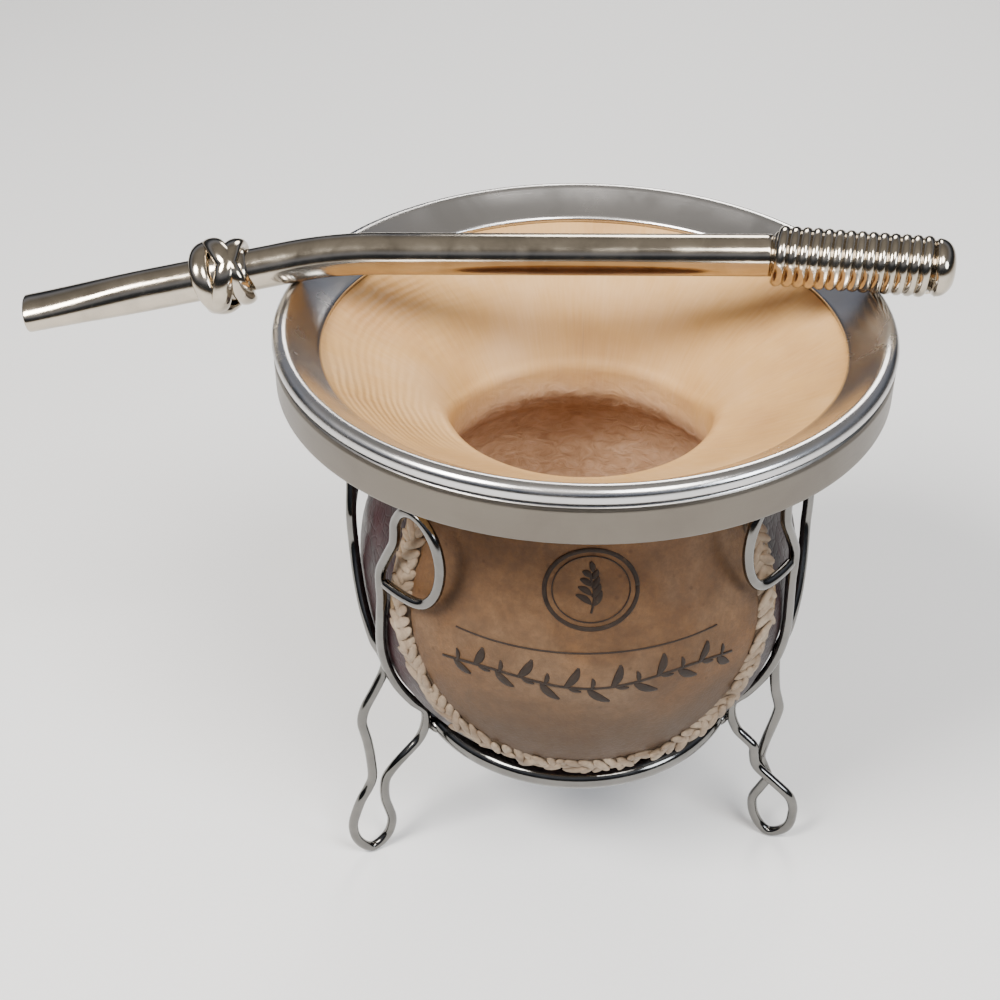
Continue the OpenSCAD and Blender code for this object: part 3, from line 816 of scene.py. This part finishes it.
def makeOrnament():
    middle, height = ornament["middle"]
    perMetre = math.degrees(1 / coverRadius(height))
    parts = []

    def stroke(points, width, taper=None):
        # a raised line through points in metres about the roundel's middle
        route = [(middle + x * perMetre, height + y) for x, y in points]
        parts.append(ribbon(route, width, ornament["low"], ornament["high"], taper))

    def circle(radius, width):
        turns = [2 * math.pi * k / 72 for k in range(73)]
        wide = radius * ornament["stretch"]
        stroke([(wide * math.cos(t), radius * math.sin(t)) for t in turns], width)

    def leafWidth(t):
        return 0.12 + 0.88 * math.sin(math.pi * min(1, t * 0.94 + 0.03)) ** 0.8

    def leaf(start, angle, length, width):
        x, y = start
        line = []
        for k in range(9):
            reach = length * k / 8
            turn = math.radians(angle) + 0.35 * k / 8
            line.append((x + reach * math.cos(turn), y + reach * math.sin(turn)))
        stroke(line, width, leafWidth)

    def branch(t):
        half, drop = ornament["branchHalf"], ornament["branch"] - height
        return (mix(-half, half, t), drop + 0.9 * mm * math.sin(3 * math.pi * t))

    circle(ornament["radius"], 0.85 * mm)
    circle(ornament["radius"] - 1.15 * mm, 0.28 * mm)
    stroke([(0.5 * mm * math.sin(k / 3), mix(-4.2 * mm, 3.2 * mm, k / 12)) for k in range(13)], 0.42 * mm)
    for k in range(ornament["leaves"]):
        t = k / (ornament["leaves"] - 1)
        y, size = mix(-3.0 * mm, 1.8 * mm, t), mix(3.2 * mm, 1.9 * mm, t)
        leaf((0.1 * mm, y), 38, size, 1.25 * mm)
        leaf((0.0, y + 0.3 * mm), 128, size, 1.25 * mm)
    leaf((0.25 * mm, 3.0 * mm), 82, 1.9 * mm, 1.1 * mm)

    # the thin line under the roundel rises towards its ends
    line = []
    for k in range(61):
        u = mix(-1, 1, k / 60)
        line.append((ornament["lineEnds"] * u, ornament["line"] + 0.5 * mm * u ** 2))
    parts.append(ribbon(line, 0.36 * mm, ornament["low"], ornament["high"]))

    # the branch has a large and a small leaf at each step, on sides that change
    stroke([branch(k / 60) for k in range(61)], 0.6 * mm)
    for k in range(ornament["branchLeaves"]):
        t = (k + 0.6) / (ornament["branchLeaves"] + 0.4)
        slope = 8 * math.cos(3 * math.pi * t)
        large, small = (48, -38) if k % 2 else (-62, 68)
        leaf(branch(t), slope + large, mix(3.6, 4.8, math.sin(math.pi * t)) * mm, 1.7 * mm)
        leaf(branch(t + 0.012), slope + small, 2.3 * mm, 0.9 * mm)
    newPiece("panelOrnament", joined(parts), inkMaterial())


makeCover()
makePanel()
makeOrnament()
print("5: leather cover, front panel and ornament")


# Lacing
lace = {
    "width": 4.6 * mm,
    "gap": -0.1 * mm,
    "pitch": 2.3 * mm,
    "length": 5.9 * mm,
    "strand": 2.15 * mm,
    "thick": 1.35 * mm,
    "lean": 50,
    "rowOffset": 1.4 * mm,
    "lift": 0.95 * mm,
    "unevenness": 0.3,
    "seed": 7,
    "borderWidth": 3.0 * mm,
    "pale": [(0.3, (0.15, 0.10, 0.062)), (0.52, (0.27, 0.20, 0.135)), (0.75, (0.42, 0.335, 0.245))],
    "deep": [(0.3, (0.07, 0.047, 0.03)), (0.7, (0.16, 0.11, 0.07))],
    "fibre": (0.10, 0.065, 0.04),
    # light colours: partly the raw edge's own, partly a painted highlight where light catches the edge
    "border": [(0.3, (0.13, 0.085, 0.045)), (0.55, (0.23, 0.155, 0.085)), (0.75, (0.31, 0.225, 0.14))],
}


def rawhide(name, stops):
    finish = Finish(name, Specular_IOR_Level=0.3)
    spot = finish.place()
    fibre = finish.noise(spot, 900, 4, 0.65)
    stain = finish.noise(spot, 130, 4, 0.6, 0.5)
    colour = finish.stops(stain, stops)
    colour = finish.blend(finish.range(fibre, 0.35, 0.7, 0, 0.35), colour, lace["fibre"])
    return finish.use(Base_Color=colour, Roughness=finish.range(stain, 0.3, 0.7, 0.5, 0.72),
                      Normal=finish.bump(finish.sum(fibre, stain, 0.5), 0.12 * mm, 0.7))


def newTree(name, numbers):
    tree = bpy.data.node_groups.new(name, "GeometryNodeTree")
    tree.interface.new_socket("Geometry", in_out="INPUT", socket_type="NodeSocketGeometry")
    for label, kind in numbers:
        tree.interface.new_socket(label, in_out="INPUT", socket_type=kind)
    tree.interface.new_socket("Geometry", in_out="OUTPUT", socket_type="NodeSocketGeometry")
    return tree, tree.nodes.new("NodeGroupInput").outputs, tree.nodes.new("NodeGroupOutput")


def finishTree(tree, geometry, output, material):
    real = make(tree, "GeometryNodeRealizeInstances", {"Geometry": geometry}).outputs[0]
    final = make(tree, "GeometryNodeSetMaterial", {"Geometry": real, "Material": material}).outputs[0]
    tree.links.new(final, output.inputs[0])


def grown(source, tree, values):
    # runs the tree on the source object and gives its result as a plain mesh
    modifier = source.modifiers.new("grow", "NODES")
    modifier.node_group = tree
    sockets = [i for i in tree.interface.items_tree if i.item_type == "SOCKET" and i.in_out == "INPUT"]
    for socket in sockets:
        if socket.name in values:
            modifier[socket.identifier] = values[socket.name]
    shown = source.evaluated_get(bpy.context.evaluated_depsgraph_get())
    mesh = bpy.data.meshes.new_from_object(shown)
    source.modifiers.remove(modifier)
    bpy.data.objects.remove(source)
    return mesh


def pointsOnCover(name, route, lift):
    # loose points with the direction along the route and out of the cover stored on each
    path = [onCover(a, z, lift) for a, z in route]
    mesh = bpy.data.meshes.new(name)
    mesh.from_pydata([tuple(p) for p in path], [], [])
    ups = [coverNormal(a, z) for a, z in route]
    for label, values in (("alongDirection", directions(path)), ("outDirection", ups)):
        layer = mesh.attributes.new(label, "FLOAT_VECTOR", "POINT")
        layer.data.foreach_set("vector", [n for v in values for n in v])
    return inScene(name, mesh)


def spacedRoute(route, pitch):
    # the route's points again, this far apart along the surface
    path = [onCover(a, z) for a, z in route]
    travelled, target, spaced = 0.0, 0.0, []
    for k in range(len(path) - 1):
        span = (path[k + 1] - path[k]).length
        while target <= travelled + span:
            t = (target - travelled) / span
            spaced.append((mix(route[k][0], route[k + 1][0], t), mix(route[k][1], route[k + 1][1], t)))
            target += pitch
        travelled += span
    return spaced


def strandTree(name, material):
    # one leaning strand for each point on each side of the route, with a little unevenness
    tree, given, output = newTree(name, [
        ("Length", "NodeSocketFloat"), ("Width", "NodeSocketFloat"), ("Thickness", "NodeSocketFloat"),
        ("Lean", "NodeSocketFloat"), ("Row Offset", "NodeSocketFloat"), ("Unevenness", "NodeSocketFloat"),
        ("Seed", "NodeSocketInt")])
    ball = make(tree, "GeometryNodeMeshUVSphere", {"Segments": 12, "Rings": 7, "Radius": 0.5}).outputs["Mesh"]
    size = make(tree, "ShaderNodeCombineXYZ", {0: given["Length"], 1: given["Width"], 2: given["Thickness"]})
    strand = make(tree, "GeometryNodeTransform", {"Geometry": ball, "Scale": size.outputs[0]}).outputs[0]
    strand = make(tree, "GeometryNodeSetShadeSmooth", {0: strand}).outputs[0]
    out, along = (make(tree, "GeometryNodeInputNamedAttribute", {"Name": label},
                       data_type="FLOAT_VECTOR").outputs[0] for label in ("outDirection", "alongDirection"))
    upright = make(tree, "FunctionNodeAlignRotationToVector", {"Vector": out}, axis="Z").outputs[0]
    turned = make(tree, "FunctionNodeAlignRotationToVector", {"Rotation": upright, "Vector": along},
                  axis="X", pivot_axis="Z").outputs[0]
    sides = make(tree, "GeometryNodeJoinGeometry")
    for side, seed in ((-1.0, given["Seed"]), (1.0, number(tree, "ADD", given["Seed"], 11.0))):
        loose = make(tree, "FunctionNodeRandomValue", {"Min": (-1, -1, -1), "Max": (1, 1, 1), "Seed": seed},
                     data_type="FLOAT_VECTOR").outputs[0]
        wobble = make(tree, "ShaderNodeVectorMath", {0: loose, 3: given["Unevenness"]},
                      operation="SCALE").outputs[0]
        lean = number(tree, "MULTIPLY", given["Lean"], side)
        lean = make(tree, "ShaderNodeCombineXYZ", {2: lean}).outputs[0]
        swing = make(tree, "FunctionNodeEulerToRotation", {0: vector(tree, "ADD", lean, wobble)}).outputs[0]
        spin = make(tree, "FunctionNodeRotateRotation", {"Rotation": turned, "Rotate By": swing},
                    rotation_space="LOCAL").outputs[0]
        row = make(tree, "GeometryNodeInstanceOnPoints", {
            "Points": given["Geometry"], "Instance": strand, "Rotation": spin}).outputs[0]
        shift = number(tree, "MULTIPLY", given["Row Offset"], -side)
        shift = make(tree, "ShaderNodeCombineXYZ", {1: shift}).outputs[0]
        moved = make(tree, "GeometryNodeTranslateInstances", {
            "Instances": row, "Translation": shift, "Local Space": True}).outputs[0]
        tree.links.new(moved, sides.inputs[0])
    finishTree(tree, sides.outputs[0], output, material)
    return tree


def makeStrands(name, route, sizes, material, replaced=()):
    # two leaning rows of strands along a route, sized by the piece's own dictionary
    source = pointsOnCover(name + "Points", route, sizes["lift"])
    mesh = grown(source, strandTree(name + "Strands", material), {
        "Length": sizes["length"], "Width": sizes["strand"], "Thickness": sizes["thick"],
        "Lean": math.radians(sizes["lean"]), "Row Offset": sizes["rowOffset"],
        "Unevenness": sizes["unevenness"], "Seed": sizes["seed"]})
    finishMesh(name, mesh, material, replaced, outward=False)


def makeLacing():
    # the braid on its darker backing, and the pale border outside it, whose light colour is partly the
    # leather's raw edge and partly a painted highlight
    middleLine = outline(lace["width"] / 2 + lace["gap"])
    makeStrands("lacingBraid", spacedRoute(middleLine, lace["pitch"]), lace, rawhide("rawhide", lace["pale"]),
                ["lacing"])
    backing = ribbon(middleLine, lace["width"] + 0.6 * mm, 0.10 * mm, 0.85 * mm)
    newPiece("lacingBacking", backing, rawhide("rawhideBacking", lace["deep"]))
    borderLine = outline(lace["width"] + lace["gap"] + 0.7 * mm)
    # the border's pale colour is partly the raw edge's own and partly a painted highlight
    leather = leatherMaterial("paleEdgeAndPaintedHighlight", lace["border"], 700, 0.1 * mm, 0.5, 0.7)
    newPiece("paleEdgeAndPaintedHighlight", ribbon(borderLine, lace["borderWidth"], -0.1 * mm, 0.42 * mm), leather)


seam = {
    "azimuth": 180,
    "low": 57 * mm,
    "high": 100 * mm,
    "width": 2.6 * mm,
    "pitch": 3.6 * mm,
    "length": 4.2 * mm,
    "strand": 0.8 * mm,
    "thick": 0.6 * mm,
    "lean": 58,
    "rowOffset": 0.0,
    "lift": 0.45 * mm,
    "unevenness": 0.07,
    "seed": 3,
    "colours": [(0.3, (0.008, 0.004, 0.004)), (0.7, (0.04, 0.013, 0.014))],
}


def makeSeam():
    # the cover is closed down the back with a folded edge and crossed stitches
    route = [(seam["azimuth"], mix(seam["high"], seam["low"], k / 60)) for k in range(61)]
    dark = leatherMaterial("seamLeather", seam["colours"], cover["grain"], cover["grainDepth"], 0.4, 0.6)
    newPiece("coverSeam", ribbon(route, seam["width"], -0.3 * mm, 0.34 * mm), dark)
    stitches = spacedRoute(route, seam["pitch"])[1:]
    makeStrands("seamStitches", stitches, seam, rawhide("seamThread", lace["pale"]))


makeLacing()
makeSeam()
print("6: lacing and back seam")


# Wire stand
stand = {
    "wire": 1.05 * mm,
    "sides": 18,
    "beads": (-63, 66.5, 180),  # azimuths where a leg is welded to the ring
    "beadAngle": 6.5,
    "beadRadius": 1.35 * mm,
    "colour": (0.17, 0.165, 0.155),
}


def wireMetal(name, tint):
    finish = Finish(name, Metallic=1.0)
    spot = finish.place(centre=(0, 0, 0))
    smudge = finish.noise(spot, 180, 4, 0.6, 0.4)
    fine = finish.noise(spot, 1400, 3, 0.6)
    colour = finish.stops(smudge, [(0.3, tuple(c * 0.8 for c in tint)), (0.62, tint)])
    return finish.use(Base_Color=colour, Roughness=finish.range(smudge, 0.25, 0.75, 0.06, 0.2),
                      Normal=finish.bump(finish.sum(smudge, fine, 0.25), 0.03 * mm, 0.5))


def makeBaseRing(metal):
    # the thick ring, and a long bead of weld where each leg meets it
    wire = (ringHigh.z - ringLow.z) / 2
    radius = (ringHigh.x - ringLow.x) / 2 - wire
    upward = Vector((0, 0, 1))
    rings = []
    for k in range(240):
        angle = 360 * k / 240
        forward = around(angle + 90, 1, 0) - axis
        rings.append(oval(around(angle, radius, ringHeight), forward, upward, wire, wire, 24))
    parts = [skin(rings, loop=True)]
    for azimuth in stand["beads"]:
        forward = around(azimuth + 90, 1, 0) - axis
        bead = []
        for k in range(13):
            t = math.pi * (k + 0.5) / 13
            angle = azimuth + stand["beadAngle"] * math.cos(t)
            size = stand["beadRadius"] * math.sin(t) ** 0.7
            spot = around(angle, radius + wire * 0.75, ringHeight - 0.1 * mm)
            bead.append(oval(spot, forward, upward, size * 1.2, size, 14))
        parts.append(skin(bead))
    newPiece("baseRing", joined(parts), metal, ["base_ring"])


def makeLegs(metal):
    # a smooth round wire along the middle line of each leg's swept CAD wire
    for node, name in (("leg_left", "legLeft"), ("leg_right", "legRight"), ("leg_back", "legBack")):
        path = curveThrough([middle(ring) for ring in cadRings(node, 8)], 4)
        newPiece(name, skin(wireRings(path, stand["wire"], stand["sides"])), metal, [node])


wireFinish = wireMetal("polishedWire", stand["colour"])
makeBaseRing(wireFinish)
makeLegs(wireFinish)
print("7: wire stand")


# Straw
straw = {
    "colour": (0.50, 0.44, 0.355),
    "tubeRadius": 4 * mm,
    "wall": 0.6 * mm,
    "hollow": 14 * mm,  # how deep the mouth is open
    "sides": 48,
}


def upAndAcross(t):
    across = t.cross(Vector((0, 0, 1))).normalized()
    return across.cross(t), across


def tubeParts():
    # middle line of the tube with its half sizes up and across, from the coil to the mouth
    rings = cadRings("straw_tube", 12)
    path = [middle(ring) for ring in rings]
    halves = []
    for ring, centre, t in zip(rings, path, directions(path)):
        high, wide = [max((p - centre).dot(way) for p in ring) for way in upAndAcross(t)]
        halves.append(Vector((high, wide, 0)))
    halves[0] = halves[1]
    dense, sizes = [path[0]], [halves[0]]
    for k in range(len(path) - 1):
        count = max(1, math.ceil((path[k + 1] - path[k]).length / (4 * mm)))
        for n in range(1, count + 1):
            dense.append(path[k].lerp(path[k + 1], n / count))
            sizes.append(halves[k].lerp(halves[k + 1], n / count))
    return curveThrough(dense, 4), curveThrough(sizes, 4)


def strawRing(centre, t, half, inset=0.0):
    return oval(centre, t, upAndAcross(t)[0], half.x - inset, half.y - inset, straw["sides"])


def makeTube(metal, path, sizes):
    # the outside, a rounded lip at the mouth, and the inside for as far as it is open
    along = directions(path)
    rings = [strawRing(c, t, h) for c, t, h in zip(path, along, sizes)]
    lip = straw["wall"] / 2
    for k in range(1, 6):
        a = math.pi * k / 6
        tip = path[-1] + along[-1] * (math.sin(a) * lip)
        rings.append(strawRing(tip, along[-1], sizes[-1], (1 - math.cos(a)) * lip))
    travelled = 0.0
    for k in range(len(path) - 1, 0, -1):
        if travelled > straw["hollow"]:
            break
        rings.append(strawRing(path[k], along[k], sizes[k], straw["wall"]))
        travelled += (path[k] - path[k - 1]).length
    newPiece("strawTube", skin(rings), metal, ["straw_tube"])


knot = {
    "loops": 3,
    "winds": 2,
    "overs": 4,
    "weave": 0.45,
    "halfLength": 3.6 * mm,
    "strand": (1.2 * mm, 1.95 * mm),  # half thickness and half width
    "swell": 1.2 * mm,
    "swellHalfLength": 5.4 * mm,
    "steps": 240,
}


def makeKnot(metal, path):
    # one closed strand goes round the tube in loops while it winds along it and back, over and under itself
    low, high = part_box("straw_knot")
    centre = (low + high) / 2
    nearest = min(range(len(path)), key=lambda k: (path[k] - centre).length)
    t = directions(path)[nearest]
    centre = path[nearest] + t * (centre - path[nearest]).dot(t)
    up = (Vector((0, 0, 1)) - t * t.z).normalized()
    side = t.cross(up)
    thick, wide = knot["strand"]
    strand, outs = [], []
    for k in range(knot["steps"]):
        a = 2 * math.pi * k / knot["steps"]
        out = up * math.cos(knot["loops"] * a) + side * math.sin(knot["loops"] * a)
        lift = 1 + knot["weave"] * (1 + math.cos(knot["overs"] * a))
        outs.append(out)
        strand.append(centre + out * (straw["tubeRadius"] + thick * lift)
                      + t * (knot["halfLength"] * math.sin(knot["winds"] * a)))
    turns = [oval(c, d, o, thick, wide, 24) for c, d, o in zip(strand, directions(strand, True), outs)]

    # a low swelling of the tube fills the space between the strand's turns
    swell = []
    for k in range(17):
        s = mix(-1, 1, k / 16)
        size = straw["tubeRadius"] + mix(-0.3 * mm, knot["swell"], math.sqrt(max(0, 1 - s * s)))
        swell.append(oval(centre + t * (s * knot["swellHalfLength"]), t, up, size, size, 40))
    newPiece("strawKnot", joined([skin(turns, loop=True), skin(swell)]), metal, ["straw_knot"])


coil = {
    "yaw": 10,
    "turns": 15,
    "length": 30.6 * mm,
    "radius": 5.8 * mm,
    "swell": 1.22,  # the wire's thickness against its pitch
    "capLength": 3.4 * mm,
    "steps": 40,
}


def coilTree(material):
    tree, given, output = newTree("coilWire", [
        ("Turns", "NodeSocketFloat"), ("Length", "NodeSocketFloat"), ("Radius", "NodeSocketFloat"),
        ("Wire Radius", "NodeSocketFloat"), ("Steps", "NodeSocketInt")])
    helix = make(tree, "GeometryNodeCurveSpiral", {
        "Resolution": given["Steps"], "Rotations": given["Turns"], "Start Radius": given["Radius"],
        "End Radius": given["Radius"], "Height": given["Length"]})
    wire = make(tree, "GeometryNodeCurvePrimitiveCircle", {"Resolution": 12, "Radius": given["Wire Radius"]})
    body = make(tree, "GeometryNodeCurveToMesh", {
        "Curve": helix.outputs[0], "Profile Curve": wire.outputs[0], "Fill Caps": True})
    soft = make(tree, "GeometryNodeSetShadeSmooth", {0: body.outputs[0]})
    finishTree(tree, soft.outputs[0], output, material)
    return tree


def makeCoil(metal):
    low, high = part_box("straw_coil")
    yaw, length, radius = math.radians(coil["yaw"]), coil["length"], coil["radius"]
    along = Vector((math.cos(yaw), -math.sin(yaw), 0))
    start = (low + high) / 2 - along * (length / 2)
    place = Matrix.Translation(start) @ Matrix.Rotation(-yaw, 4, "Z") @ Matrix.Rotation(math.pi / 2, 4, "Y")
    wire = length / coil["turns"] / 2
    mesh = grown(inScene("coilSource", bpy.data.meshes.new("coilSource")), coilTree(metal), {
        "Turns": coil["turns"] - 1.0, "Length": length - 2 * wire, "Radius": radius - wire * coil["swell"],
        "Wire Radius": wire * coil["swell"], "Steps": coil["steps"]})
    mesh.transform(place @ Matrix.Translation((0, 0, wire)))
    finishMesh("strawCoil", mesh, metal, ["straw_coil"], outward=False)

    # the plain tube inside the coil, and the domed cap at its end
    inner, dome = radius - wire * 1.2, radius - 0.35 * mm
    core = [(0.2 * mm, inner * 0.9), (0.8 * mm, inner), (length - 0.3 * mm, inner)]
    cap = [(length - 0.7 * mm, dome * 0.9)]
    for k in range(17):
        a = math.radians(5.6 * k)
        cap.append((length + coil["capLength"] * math.sin(a), max(dome * math.cos(a) ** 0.7, 0.05 * mm)))
    for name, profile, replaced in (("strawCore", core, ()), ("strawCap", cap, ["straw_cap"])):
        rings = []
        for z, r in profile:
            turns = [2 * math.pi * j / 56 for j in range(56)]
            rings.append([place @ Vector((r * math.cos(b), r * math.sin(b), z)) for b in turns])
        newPiece(name, skin(rings), metal, replaced)


strawFinish = wireMetal("polishedStraw", straw["colour"])
tubePath, tubeSizes = tubeParts()
makeTube(strawFinish, tubePath, tubeSizes)
makeKnot(strawFinish, tubePath)
makeCoil(strawFinish)
print("8: straw")

print("9: done")
